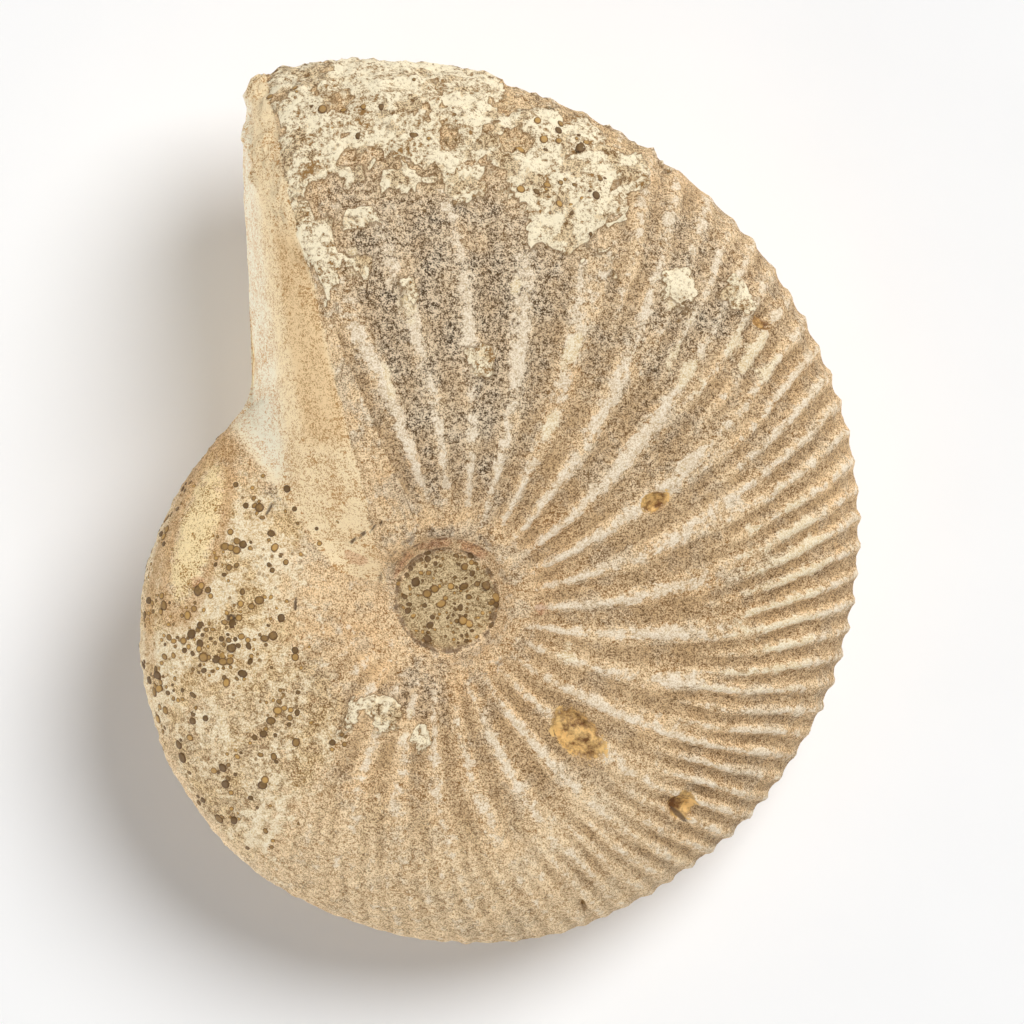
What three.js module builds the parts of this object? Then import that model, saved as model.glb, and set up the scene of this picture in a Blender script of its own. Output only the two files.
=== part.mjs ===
// An ammonite fossil: one solid stone cast of a fat, tightly coiled shell, lying on one flank.
//
// The last whorl is a logarithmic spiral about the coiling pole. Seen from above it runs
// anticlockwise from the place where the mouth was broken off, all the way round to the mouth
// itself. The whorl's section is an ogive: widest beside the umbilicus and rounded at the venter,
// the outer edge. Primary ribs start at the umbilicus and fade on the flank; finer secondary
// ribs cross the outer third and the venter. Below the mouth the step down to the earlier part
// of the whorl is filled with rock. The flank that it lies on is worn flat where it touches.
//
// Millimetres, +Z up. +Y runs along the longest side, with the mouth at the -X +Y corner. The
// origin is the middle of the bounding box, on the surface that the fossil lies on.

import * as THREE from "three";

const { degToRad, radToDeg, lerp, smoothstep } = THREE.MathUtils;

// The coil. Angles are in degrees, and a turn counts on past 360 along the whorl.
const FULL_TURN = 360;
const MOUTH_RADIUS = 74.9; // pole to venter at the mouth
const MOUTH_TURN = 470;
const GROWTH = 0.1278; // natural logarithm of the growth in radius for each radian
const OVAL_SHARE = 0.008; // the coil was squeezed a little out of round in the rock
const OVAL_AXIS = 45;
const MOUTH_HALF_WIDTH = 25.5;
const WIDTH_EXPONENT = 0.9; // the width grows a little slower than the radius

// The whorl's section, from 0 at the umbilical rim to 1 at the venter.
const FULLNESS = 2.4; // 2 is an ellipse; more is flatter on the flank and blunter at the venter
const SHOULDER_DROP = 0.2; // the flank rounds down to the rim by this share
const SHOULDER_REACH = 0.12;
const OUTSIDE_FALL = 4; // past its own venter a part of the whorl falls away, in half widths

// The umbilicus, which is filled with rock to just below its rim.
const UMBILICUS = new THREE.Vector2(2.5, -1.0); // its centre, from the pole
const RIM_RADIUS = 9.8;
const FLOOR_RADIUS = 7.2;
const FLOOR_DEPTH = 2.6;

// The broken mouth: a face that rises from a straight lip to a slanted edge on the flank.
const LIP_X = -22.8; // where the lip's line passes the pole
const LIP_SLANT = -0.047; // its change in X for each mm of Y
const EDGE_REACH = 17.3; // how far the flank edge lies inside the lip, level with the pole
const EDGE_SLANT = 0.19; // the edge comes this much nearer to the lip for each mm of Y
const EDGE_REACH_LEAST = 2;
const FACE_BREAK = 0.45; // the face is steep up to this share of its reach, then flatter
const FACE_BREAK_RISE = 0.62;
const EDGE_RISE_LEAST = 3; // at the corner, where the flank has no height of its own
const EDGE_ROUNDING = 5;
const UNDERSIDE_REACH = 0.5; // the face below the lip is steeper by this share
const CORNER_ROUNDING = 12;
const NOTCH_ROUNDING = 5;

// The rock that fills the step between the mouth and the earlier part of the whorl.
const FILL_ROUNDING = 8;
const FILL_START = 120; // from here the fill sinks, and at its end it is gone
const FILL_END = 200;
const FILL_SINK = 16;
const STEP_END = 210; // past this turn there is only one part of the whorl in each direction
const MOUTH_APPROACH = 400; // from here on the mouth's face can cut the flank

// Ribs. They lean forward from the rim to the venter.
const RIB_LEAN = 17; // degrees from rim to venter
const LEAN_ORIGIN = 0.2; // where across the whorl a rib's turn is counted
const PRIMARY_PITCH = 11.6;
const PRIMARY_TURN = 462.7; // one primary rib's crest
const PRIMARY_HEIGHT = 0.9;
const PRIMARY_ROOT = 0.12; // a primary is at its full height here, and starts to fade later
const PRIMARY_FADE = [0.4, 0.75];
const RIB_COUNT = 94; // secondary ribs on the last whorl
const EARLY_PITCH = 3.75;
const PITCH_CHANGE = 400; // turn at which the secondaries spread out
const SECONDARY_HEIGHT = 0.7;
const SECONDARY_RISE = [0.5, 0.8];
const CREST_SHARPNESS = 1.3;
const CREST_MEAN = 0.45;
const RIBS_START = 170; // the earliest part is buried in rock, and the ribs come out after it
const RIBS_FULL = 200;

// How it lies. The mid plane of the coil slopes, because the whorl is thickest by the mouth.
const POLE_HEIGHT = 21.2;
const SLOPE_X = -0.113;
const SLOPE_Y = 0.069;

// Facets.
const COLUMNS_PER_RIB = 2;
const UPPER_ROWS = 10;
const LOWER_ROWS = 7;
const COLUMNS_PER_FLOOR_FACET = 4;
const NORMAL_POWER = 3; // how fast the surface's normal swings outwards across the whorl
const SWING_WIDTH = 18; // degrees beside the mouth in which columns turn to follow its edge
const EDGE_SWING = 25; // degrees by which the mouth's edge is turned at the rim
const EDGE_SWING_REACH = 0.12;

const SEAM_RIB = 29.5; // the columns start in this trough, counted from turn 0, at the mouth's edge

const SEAM_TURN = SEAM_RIB * EARLY_PITCH;
const EARLY_RIBS = (PITCH_CHANGE - SEAM_TURN) / EARLY_PITCH;
const LATE_PITCH = (SEAM_TURN + FULL_TURN - PITCH_CHANGE) / (RIB_COUNT - EARLY_RIBS);
const COLUMNS = RIB_COUNT * COLUMNS_PER_RIB;
const FLOOR_FACETS = COLUMNS / COLUMNS_PER_FLOOR_FACET;
const UP = 1;
const DOWN = -1;

const cosDeg = (angle) => Math.cos(degToRad(angle));
const sinDeg = (angle) => Math.sin(degToRad(angle));

function softMin(a, b, rounding) {
  const overlap = Math.max(rounding - Math.abs(a - b), 0);
  return Math.min(a, b) - (overlap * overlap) / (4 * rounding);
}

const softMax = (a, b, rounding) => -softMin(-a, -b, rounding);

const spiral = (turn) => MOUTH_RADIUS * Math.exp(GROWTH * degToRad(turn - MOUTH_TURN));

const halfWidth = (turn) => MOUTH_HALF_WIDTH * (spiral(turn) / MOUTH_RADIUS) ** WIDTH_EXPONENT;

const venterRadius = (turn) => spiral(turn) * (1 + OVAL_SHARE * cosDeg(2 * (turn - OVAL_AXIS)));

// Distance from the pole to the straight lip of the mouth, or infinity where a ray misses it.
function lipRadius(turn) {
  const approach = cosDeg(turn) - LIP_SLANT * sinDeg(turn);
  return approach < 0 ? LIP_X / approach : Infinity;
}

// The outline seen from above: the spiral, cut off straight at the mouth.
function outlineRadius(turn) {
  if (turn < STEP_END) {
    const mouth = softMin(venterRadius(turn + FULL_TURN), lipRadius(turn), CORNER_ROUNDING);
    return softMax(venterRadius(turn), mouth, NOTCH_ROUNDING);
  }
  const venter = venterRadius(turn);
  return turn > MOUTH_APPROACH ? softMin(venter, lipRadius(turn), CORNER_ROUNDING) : venter;
}

function section(across) {
  if (across > 1) return OUTSIDE_FALL * (1 - across);
  const s = Math.max(across, 0);
  const shoulder = 1 - SHOULDER_DROP * Math.exp(-((s / SHOULDER_REACH) ** 2));
  return Math.sqrt(1 - s ** FULLNESS) * shoulder;
}

// How far across the whorl of the given turn a point lies, seen from above.
function acrossAt(x, y, turn) {
  const radius = Math.hypot(x, y);
  const rim = RIM_RADIUS + (UMBILICUS.x * x + UMBILICUS.y * y) / radius;
  return (radius - rim) / (venterRadius(turn) - rim);
}

const flankRise = (x, y, turn) => halfWidth(turn) * section(acrossAt(x, y, turn));

// The late part of the whorl, with its broken mouth.
function lateRise(x, y, turn, side) {
  const reachShare = side === UP ? 1 : UNDERSIDE_REACH;
  const reach = reachShare * Math.max(EDGE_REACH - EDGE_SLANT * y, EDGE_REACH_LEAST);
  const lip = LIP_X + LIP_SLANT * y;
  const inset = (x - lip) / reach;
  if (inset <= 0) return 0;
  const steep = (inset / FACE_BREAK) * FACE_BREAK_RISE;
  const flatter = lerp(FACE_BREAK_RISE, 1, (inset - FACE_BREAK) / (1 - FACE_BREAK));
  const edgeRise = Math.max(flankRise(lip + reach, y, turn), EDGE_RISE_LEAST);
  const face = Math.min(steep, flatter) * edgeRise;
  return softMin(face, flankRise(x, y, turn), EDGE_ROUNDING * Math.min(inset, 1));
}

// Height of the stone above the coil's mid plane, or below it on the underside.
function rise(x, y, turn, side) {
  if (turn >= STEP_END) {
    return turn > MOUTH_APPROACH ? lateRise(x, y, turn, side) : flankRise(x, y, turn);
  }
  const direction = radToDeg(Math.atan2(y, x));
  const left = direction < 0 ? direction + FULL_TURN : direction;
  const sink = FILL_SINK * smoothstep(left, FILL_START, FILL_END);
  const mouth = lateRise(x, y, turn + FULL_TURN, side) - sink;
  return softMax(flankRise(x, y, turn), mouth, FILL_ROUNDING);
}

// A rib's profile along the whorl: a narrow crest and a wide trough, about zero on average.
const ribProfile = (phase) => ((1 + Math.cos(2 * Math.PI * phase)) / 2) ** CREST_SHARPNESS - CREST_MEAN;

function secondaryPhase(turn) {
  const early = Math.min(turn, PITCH_CHANGE) / EARLY_PITCH;
  return early + Math.max(turn - PITCH_CHANGE, 0) / LATE_PITCH;
}

function columnTurn(column) {
  const phase = SEAM_RIB + column / COLUMNS_PER_RIB;
  const late = Math.max(phase - PITCH_CHANGE / EARLY_PITCH, 0);
  return (phase - late) * EARLY_PITCH + late * LATE_PITCH;
}

function ribHeight(turn, across) {
  const root = turn - RIB_LEAN * (across - LEAN_ORIGIN);
  const onFlank = smoothstep(across, 0, PRIMARY_ROOT) * (1 - smoothstep(across, ...PRIMARY_FADE));
  const onVenter = smoothstep(across, ...SECONDARY_RISE);
  const bare = smoothstep(root, RIBS_START, RIBS_FULL);
  const primary = PRIMARY_HEIGHT * onFlank * ribProfile((root - PRIMARY_TURN) / PRIMARY_PITCH);
  const secondary = SECONDARY_HEIGHT * onVenter * ribProfile(secondaryPhase(root));
  return bare * (primary + secondary);
}

const midPlane = (x, y) => POLE_HEIGHT + SLOPE_X * x + SLOPE_Y * y;

// The direction of a column at a place across the whorl. Columns follow the ribs, and near the
// mouth they swing round to follow its edge instead.
function columnDirection(turn, across) {
  const fromMouth = Math.min(turn - SEAM_TURN, SEAM_TURN + FULL_TURN - turn);
  const nearMouth = Math.exp(-((fromMouth / SWING_WIDTH) ** 2));
  const alongEdge = EDGE_SWING * Math.exp(-across / EDGE_SWING_REACH);
  return turn + lerp(RIB_LEAN * (across - LEAN_ORIGIN), alongEdge, nearMouth);
}

function surfacePoint(column, across, side) {
  const direction = columnDirection(columnTurn(column), across);
  const turn = SEAM_TURN + ((direction - SEAM_TURN + FULL_TURN) % FULL_TURN);
  const outline = outlineRadius(turn);
  const rim = new THREE.Vector2(RIM_RADIUS * cosDeg(turn), RIM_RADIUS * sinDeg(turn)).add(UMBILICUS);
  const venter = new THREE.Vector2(outline * cosDeg(turn), outline * sinDeg(turn));
  const plan = rim.lerp(venter, across);
  const rib = ribHeight(turn, across);
  const outward = across ** NORMAL_POWER;
  const upward = Math.sqrt(1 - outward ** 2);
  const level = rise(plan.x, plan.y, turn, side) + rib * upward;
  const z = midPlane(plan.x, plan.y) + side * level;
  plan.addScaledVector(new THREE.Vector2(cosDeg(turn), sinDeg(turn)), rib * outward);
  return new THREE.Vector3(plan.x, plan.y, Math.max(z, 0));
}

// Rows are close together at the rim and at the venter, where the section bends most.
const rowPlace = (row, rows) => (1 - Math.cos((Math.PI * row) / rows)) / 2;

const points = [];
const triangles = [];

function addRing(across, side) {
  const ring = [];
  for (let column = 0; column < COLUMNS; column += 1) {
    ring.push(points.push(surfacePoint(column, across, side)) - 1);
  }
  return ring;
}

// The strip of facets from one ring to the next; the first ring is the inner one on top.
function addStrip(from, to) {
  from.forEach((a, i) => {
    const next = (i + 1) % from.length;
    triangles.push([a, to[i], to[next]], [a, to[next], from[next]]);
  });
}

// The rock in the umbilicus. Its floor is flat and leans with the rim, a little way below it.
function addFloor(rim, side) {
  const mean = new THREE.Vector3();
  const lean = new THREE.Vector2();
  rim.forEach((index) => {
    const { x, y, z } = points[index];
    mean.add(new THREE.Vector3(x, y, z).divideScalar(rim.length));
  });
  rim.forEach((index) => {
    const { x, y, z } = points[index];
    const offset = new THREE.Vector2(x - mean.x, y - mean.y);
    lean.addScaledVector(offset, (2 * (z - mean.z)) / (rim.length * RIM_RADIUS ** 2));
  });
  const floorPoint = (x, y) =>
    new THREE.Vector3(x, y, mean.z + lean.x * (x - mean.x) + lean.y * (y - mean.y) - side * FLOOR_DEPTH);
  const centre = points.push(floorPoint(UMBILICUS.x, UMBILICUS.y)) - 1;
  const floor = [];
  for (let facet = 0; facet < FLOOR_FACETS; facet += 1) {
    const index = rim[facet * COLUMNS_PER_FLOOR_FACET];
    const toRim = new THREE.Vector2(points[index].x, points[index].y).sub(UMBILICUS);
    toRim.setLength(FLOOR_RADIUS).add(UMBILICUS);
    floor.push(points.push(floorPoint(toRim.x, toRim.y)) - 1);
  }
  const addFacing = (a, b, c) => triangles.push(side === UP ? [a, b, c] : [a, c, b]);
  floor.forEach((a, facet) => {
    const b = floor[(facet + 1) % FLOOR_FACETS];
    for (let step = 0; step < COLUMNS_PER_FLOOR_FACET; step += 1) {
      const column = facet * COLUMNS_PER_FLOOR_FACET + step;
      addFacing(a, rim[column], rim[(column + 1) % COLUMNS]);
    }
    addFacing(a, rim[((facet + 1) * COLUMNS_PER_FLOOR_FACET) % COLUMNS], b);
    addFacing(centre, a, b);
  });
}

function addShell() {
  const rings = [];
  for (let row = 0; row < UPPER_ROWS; row += 1) {
    rings.push(addRing(rowPlace(row, UPPER_ROWS), UP));
  }
  for (let row = LOWER_ROWS; row >= 0; row -= 1) {
    rings.push(addRing(rowPlace(row, LOWER_ROWS), DOWN));
  }
  for (let i = 1; i < rings.length; i += 1) {
    addStrip(rings[i - 1], rings[i]);
  }
  addFloor(rings[0], UP);
  addFloor(rings[rings.length - 1], DOWN);
}

function buildGeometry() {
  addShell();
  const geometry = new THREE.BufferGeometry();
  const coordinates = points.flatMap((point) => point.toArray());
  geometry.setAttribute("position", new THREE.Float32BufferAttribute(coordinates, 3));
  geometry.setIndex(triangles.flat());
  geometry.computeBoundingBox();
  const middle = geometry.boundingBox.getCenter(new THREE.Vector3());
  geometry.translate(-middle.x, -middle.y, 0);
  geometry.computeVertexNormals();
  return geometry;
}

const limestone = new THREE.MeshStandardMaterial({ color: 0xc2a988, roughness: 0.9, metalness: 0 });
const ammonite = new THREE.Mesh(buildGeometry(), limestone);
ammonite.name = "ammonite";

const fossil = new THREE.Group();
fossil.add(ammonite);

export default fossil;
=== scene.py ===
# %% [markdown]
# # An ammonite fossil
#
# An ammonite was a sea animal with a coiled shell. This one is a stone cast of the shell:
# limestone mud filled it, hardened, and most of the shell went. So the whole thing is one piece of
# stone, with ribs, a rock-filled navel called the umbilicus, a broken mouth and some crust that
# clings to it.
#
# The stone has one form that follows a rule, the coil, and several things that repeat or follow
# its surface: ribs, crust, pits and iron grains. Geometry Nodes make all of these. Materials then
# colour what the geometry shows. Everything is in metres, in the frame of the solid model.

# %% Load the frame
import math

import bpy
import numpy as np
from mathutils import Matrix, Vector


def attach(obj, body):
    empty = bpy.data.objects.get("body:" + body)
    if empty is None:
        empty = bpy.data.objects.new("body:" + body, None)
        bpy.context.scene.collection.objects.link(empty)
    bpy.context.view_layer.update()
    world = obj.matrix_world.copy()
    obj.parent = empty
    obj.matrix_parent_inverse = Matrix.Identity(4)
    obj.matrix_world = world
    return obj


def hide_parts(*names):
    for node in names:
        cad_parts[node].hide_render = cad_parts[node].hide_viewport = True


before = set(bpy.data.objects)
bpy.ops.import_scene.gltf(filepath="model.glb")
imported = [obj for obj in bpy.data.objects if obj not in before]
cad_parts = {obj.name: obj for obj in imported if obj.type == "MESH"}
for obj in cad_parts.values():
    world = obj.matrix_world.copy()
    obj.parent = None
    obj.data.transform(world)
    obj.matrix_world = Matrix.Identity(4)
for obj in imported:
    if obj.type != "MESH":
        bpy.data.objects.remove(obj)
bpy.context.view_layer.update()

MM = 0.001

# %% [markdown]
# ## Helpers for every node tree
#
# A node is added, set and linked in the same way in every tree, so one function does all of it.
# The inputs come as a list in the order of the sockets, or as a dictionary by name. A node's kind
# may end in a dot and its operation, as the seven commonest sums below do. The function returns an
# output socket, which goes straight into the next node. The other functions start a Geometry Nodes
# tree with a named input for each size, and run a tree on a piece to get a plain mesh.

# %% Node helpers
MATH = "ShaderNodeMath"
TIMES, PLUS, MINUS = MATH + ".MULTIPLY", MATH + ".ADD", MATH + ".SUBTRACT"
OVER, TIMES_PLUS = MATH + ".DIVIDE", MATH + ".MULTIPLY_ADD"
LARGER, SMALLER = MATH + ".MAXIMUM", MATH + ".MINIMUM"
RANGE = "ShaderNodeMapRange"
VECTOR = "ShaderNodeVectorMath"
MIX = "ShaderNodeMix"
NOISE = "ShaderNodeTexNoise"
CELLS = "ShaderNodeTexVoronoi"
GROUP = "GeometryNodeGroup"
SWITCH = "GeometryNodeSwitch"
COMPARE = "FunctionNodeCompare"
ATTRIBUTE = "GeometryNodeInputNamedAttribute"
STORE = "GeometryNodeStoreNamedAttribute"


def add(tree, kind, inputs=(), out=0, **settings):
    """Adds a node, sets it, fills or links its inputs, and returns one of its outputs."""
    kind, _, operation = kind.partition(".")
    node = tree.nodes.new(kind)
    if operation:
        node.operation = operation
    for name, value in settings.items():
        setattr(node, name, value)
    sockets = [socket for socket in node.inputs if socket.enabled]
    if isinstance(inputs, dict):
        by_name = {socket.name: socket for socket in sockets}
        pairs = [(by_name[name], value) for name, value in inputs.items()]
    else:
        pairs = list(zip(sockets, inputs))
    for socket, value in pairs:
        if isinstance(value, bpy.types.NodeSocket):
            tree.links.new(value, socket)
        elif value is not None:
            socket.default_value = value
    outputs = [socket for socket in node.outputs if socket.enabled]
    return outputs[out] if outputs else None


def start_tree(name, inputs, outputs):
    """Starts a Geometry Nodes tree. An input or output given as None is a geometry."""
    tree = bpy.data.node_groups.new(name, "GeometryNodeTree")
    for way, sockets in (("INPUT", inputs), ("OUTPUT", outputs)):
        for label, value in sockets.items():
            kind = "NodeSocketGeometry" if value is None else "NodeSocketFloat"
            socket = tree.interface.new_socket(label, in_out=way, socket_type=kind)
            if value is not None:
                socket.default_value = value
    source = tree.nodes.new("NodeGroupInput")
    return tree, {socket.name: socket for socket in source.outputs if socket.name}


def run_tree(piece, tree, values):
    """Runs a tree on a piece and keeps what it makes as the piece's plain mesh."""
    modifier = piece.modifiers.new(tree.name, "NODES")
    modifier.node_group = tree
    for item in tree.interface.items_tree:
        if item.in_out == "INPUT" and item.name in values:
            modifier[item.identifier] = values[item.name]
    graph = bpy.context.evaluated_depsgraph_get()
    made = bpy.data.meshes.new_from_object(piece.evaluated_get(graph))
    piece.modifiers.clear()
    piece.data = made
    print(f"{tree.name}: {len(made.vertices)} points, {len(made.polygons)} faces")


def new_piece(name, mesh):
    piece = bpy.data.objects.new(name, mesh)
    bpy.context.scene.collection.objects.link(piece)
    return piece


# %% [markdown]
# ## Camera, floor and light
#
# A fossil is drawn and measured from straight above, so the camera looks straight down through a
# long lens. The floor is plain white. One wide soft lamp stands high at the upper right and throws
# the soft shadow. A weaker lamp opposite throws none, like a white card: it keeps the far side as
# light as the near one. The room does the rest: its walls are pale and its ceiling is dimmer. The
# lamps stand well back, so that the floor is evenly lit.

# %% Camera, floor and light
VIEW_CENTRE = (1.44, -0.76, 22.0)
VIEW_WIDTH, SENSOR_WIDTH = 140.9, 36.0
CAMERA_DISTANCE = 1500.0
LAMP_DISTANCE = 6.0
WALL_LIGHT, CEILING_LIGHT, WALL_TOP = 0.85, 0.16, 0.22
LAMPS = {  # azimuth, elevation in degrees, size in metres, power in watts, and if it throws shadow
    "key_lamp": (44.0, 53.0, 3.5, 309.0, True),
    "white_card": (222.0, 20.0, 3.4, 196.0, False)}

camera = bpy.data.objects.new("camera", bpy.data.cameras.new("camera"))
bpy.context.scene.collection.objects.link(camera)
camera.data.sensor_width = SENSOR_WIDTH
camera.data.lens = SENSOR_WIDTH * CAMERA_DISTANCE / VIEW_WIDTH
camera.location = Vector(VIEW_CENTRE) * MM + Vector((0.0, 0.0, CAMERA_DISTANCE * MM))
bpy.context.scene.camera = camera
bpy.context.scene.view_settings.view_transform = "Standard"
bpy.context.scene.view_settings.look = "None"

floor_mesh = bpy.data.meshes.new("floor")
FLOOR_CORNERS = ((-1, -1), (1, -1), (1, 1), (-1, 1))
FLOOR_HALF, FLOOR_DROP = 2.5, 0.00005  # in metres; the drop keeps it apart from the stone's base
floor_mesh.from_pydata([(x * FLOOR_HALF, y * FLOOR_HALF, -FLOOR_DROP) for x, y in FLOOR_CORNERS],
                       [], [(0, 1, 2, 3)])
floor = new_piece("floor", floor_mesh)

for name, (azimuth, elevation, size, power, throws_shadow) in LAMPS.items():
    lamp = bpy.data.objects.new(name, bpy.data.lights.new(name, "AREA"))
    bpy.context.scene.collection.objects.link(lamp)
    lamp.data.shape, lamp.data.size, lamp.data.energy = "DISK", size, power
    lamp.data.use_shadow = throws_shadow
    lamp.data.cycles.cast_shadow = throws_shadow
    azimuth, elevation = math.radians(azimuth), math.radians(elevation)
    towards_lamp = Vector((math.cos(elevation) * math.cos(azimuth),
                           math.cos(elevation) * math.sin(azimuth), math.sin(elevation)))
    lamp.location = towards_lamp * LAMP_DISTANCE
    lamp.rotation_euler = towards_lamp.to_track_quat("Z", "Y").to_euler()

room = bpy.data.worlds.new("room")
bpy.context.scene.world = room
room.use_nodes = True
walls = room.node_tree
walls.nodes.clear()
looking = add(walls, "ShaderNodeTexCoord")
height = add(walls, "ShaderNodeSeparateXYZ", [looking]).node.outputs["Z"]
glow = add(walls, RANGE, [height, 0.0, WALL_TOP, WALL_LIGHT, CEILING_LIGHT],
           interpolation_type="SMOOTHSTEP")
add(walls, "ShaderNodeOutputWorld", {"Surface": add(walls, "ShaderNodeBackground",
                                                    {"Strength": glow, "Color": (1.0,) * 4})})
print("camera lens in mm:", round(camera.data.lens, 1))

# %% [markdown]
# ## The rule of the coil
#
# The shell grew by the same share for each degree of turn, so its outer edge, the venter, is a
# logarithmic spiral round a pole. A turn counts in degrees and goes on past 360. The last whorl
# starts beside the broken mouth at about 110 and ends in the mouth itself at about 470, one full
# turn later. Across the whorl, 0 is the rim of the umbilicus and 1 is the venter. Below 0 it goes
# down the rim's wall to the middle of the umbilicus.
#
# The sizes below are in millimetres and degrees, and are the same as the solid model's.

# %% Sizes of the coil
POLE = (-9.95, -11.91)  # the coil's pole, in the frame
FULL_TURN = 360.0
SEAM_TURN = 110.625  # the mouth's edge, where the last whorl starts and ends
MOUTH_TURN = 470.0
OVAL_SHARE, OVAL_AXIS = 0.008, 45.0
WIDTH_EXPONENT, FULLNESS = 0.9, 2.4
SHOULDER_DROP, SHOULDER_REACH = 0.2, 0.12
OUTSIDE_FALL = 4.0
UMBILICUS = (2.5, -1.0)  # from the pole
LIP_X, LIP_SLANT = -22.8, -0.047
EDGE_REACH, EDGE_SLANT, EDGE_REACH_LEAST = 17.3, 0.19, 2.0
FACE_BREAK, FACE_BREAK_RISE, EDGE_RISE_LEAST = 0.45, 0.62, 3.0
UNDERSIDE_REACH = 0.5
EDGE_ROUNDING, CORNER_ROUNDING, NOTCH_ROUNDING, FILL_ROUNDING = 7.5, 18.0, 7.5, 12.0
FILL_START, FILL_END, FILL_SINK = 120.0, 200.0, 16.0
STEP_END, MOUTH_APPROACH = 210.0, 400.0
SLOPE = (-0.113, 0.069)
FLOOR_RADIUS, FLOOR_RISE = 7.2, 13.2
FLOOR_LEAN, FLOOR_MIDDLE = (0.08, 0.32), (2.08, -1.37)
SHELL_SIZES = {"Mouth Radius": 74.9, "Growth": 0.1278, "Half Width": 25.5}
COLUMNS, ROWS_BELOW, ROWS_ABOVE = 640, 56, 96
UMBILICUS_SHARE = 0.16  # of the rows on each side
print("last whorl spans turns", SEAM_TURN, "to", SEAM_TURN + FULL_TURN)

# %% [markdown]
# ## A spiral and a flank, as small trees
#
# Two formulas are used several times in the coil, so each is a tree of its own. The first gives
# the venter's distance from the pole and the whorl's half width at a turn. The second gives the
# height of the flank over a point in the plan: an ellipse with a full crown, and a shoulder that
# rounds down to the rim.

# %% Spiral tree
spiral, given = start_tree("Spiral", {"Turn": 0.0, **SHELL_SIZES}, {"Radius": 0.0, "Width": 0.0})
from_mouth = add(spiral, MINUS, [given["Turn"], MOUTH_TURN])
radians = add(spiral, MATH, [from_mouth], operation="RADIANS")
exponent = add(spiral, TIMES, [radians, given["Growth"]])
share = add(spiral, MATH, [exponent], operation="EXPONENT")
round_radius = add(spiral, TIMES, [share, given["Mouth Radius"]])
twice = add(spiral, TIMES_PLUS, [given["Turn"], 2.0, -2.0 * OVAL_AXIS])
oval = add(spiral, MATH, [add(spiral, MATH, [twice], operation="RADIANS")], operation="COSINE")
stretch = add(spiral, TIMES_PLUS, [oval, OVAL_SHARE, 1.0])
radius = add(spiral, TIMES, [round_radius, stretch])
width_share = add(spiral, MATH, [share, WIDTH_EXPONENT], operation="POWER")
width = add(spiral, TIMES, [width_share, given["Half Width"]])
add(spiral, "NodeGroupOutput", [radius, width])

# %% Flank tree
flank, given = start_tree("Flank", {"X": 0.0, "Y": 0.0, "Turn": 0.0, "Rim Radius": 9.8,
                                    **SHELL_SIZES}, {"Rise": 0.0})
plan = add(flank, "ShaderNodeCombineXYZ", [given["X"], given["Y"], 0.0])
radius = add(flank, VECTOR, [plan], operation="LENGTH")
aside = add(flank, VECTOR, [plan, (*UMBILICUS, 0.0)], operation="DOT_PRODUCT")
rim = add(flank, OVER, [aside, radius])
rim = add(flank, PLUS, [rim, given["Rim Radius"]])
venter = add(flank, GROUP, {name: given[name] for name in ("Turn", *SHELL_SIZES)},
             node_tree=spiral)
width = venter.node.outputs["Width"]
inside = add(flank, MINUS, [radius, rim])
span = add(flank, MINUS, [venter, rim])
across = add(flank, OVER, [inside, span])
positive = add(flank, LARGER, [across, 0.0])
crown = add(flank, MATH, [positive, FULLNESS], operation="POWER")
crown = add(flank, MINUS, [1.0, crown])
crown = add(flank, MATH, [add(flank, LARGER, [crown, 0.0])], operation="SQRT")
near_rim = add(flank, OVER, [positive, SHOULDER_REACH])
near_rim = add(flank, TIMES, [near_rim, near_rim])
near_rim = add(flank, TIMES, [near_rim, -1.0])
near_rim = add(flank, MATH, [near_rim], operation="EXPONENT")
shoulder = add(flank, TIMES_PLUS, [near_rim, -SHOULDER_DROP, 1.0])
beyond = add(flank, MINUS, [1.0, across])
beyond = add(flank, SMALLER, [beyond, 0.0])
section = add(flank, TIMES, [crown, shoulder])
section = add(flank, TIMES_PLUS, [beyond, OUTSIDE_FALL, section])
add(flank, "NodeGroupOutput", [add(flank, TIMES, [section, width])])
print("spiral and flank trees:", len(spiral.nodes), "and", len(flank.nodes), "nodes")

# %% [markdown]
# ## The coil
#
# A coil could be made by sweeping a profile along a spiral, but the broken mouth and the old whorl
# beside it would then be two skins that cut through each other. Here one sheet is bent instead. A
# flat grid gives each point a turn and a place across. The sheet starts in the middle of the
# underside, goes out to the venter, round it, and back over the top to the middle of the
# umbilicus. So it is closed, with one seam that is merged at the end.
#
# The first cell sets where a point is in the plan. Near the mouth, the outline is the smaller of
# the spiral and the mouth's straight lip, and the old whorl beside it rounds into it.

# %% Coil tree: plan
coil, given = start_tree("Coil", {
    "Geometry": None, "Columns": 0.0, "Rows": 0.0, "Pole Height": 21.2, "Rim Radius": 9.8,
    **SHELL_SIZES}, {"Geometry": None})
sizes = {name: given[name] for name in SHELL_SIZES}
rim_sizes = {"Rim Radius": given["Rim Radius"], **sizes}
columns = add(coil, PLUS, [given["Columns"], 1.0])
rows = add(coil, PLUS, [given["Rows"], 1.0])
grid = add(coil, "GeometryNodeMeshGrid", [1.0, 1.0, columns, rows])
spot = add(coil, VECTOR, [add(coil, "GeometryNodeInputPosition"), (0.5, 0.5, 0.0)],
           operation="ADD")
along = add(coil, "ShaderNodeSeparateXYZ", [spot])
up = along.node.outputs["Y"]
turn = add(coil, TIMES_PLUS, [along, FULL_TURN, SEAM_TURN])
VENTER_ROW, HAIR = ROWS_BELOW / (ROWS_BELOW + ROWS_ABOVE), 0.0001
above = add(coil, COMPARE, {"A": up, "B": VENTER_ROW + HAIR}, operation="GREATER_THAN")
side = add(coil, TIMES_PLUS, [above, 2.0, -1.0])
from_below = add(coil, OVER, [up, VENTER_ROW])
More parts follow.
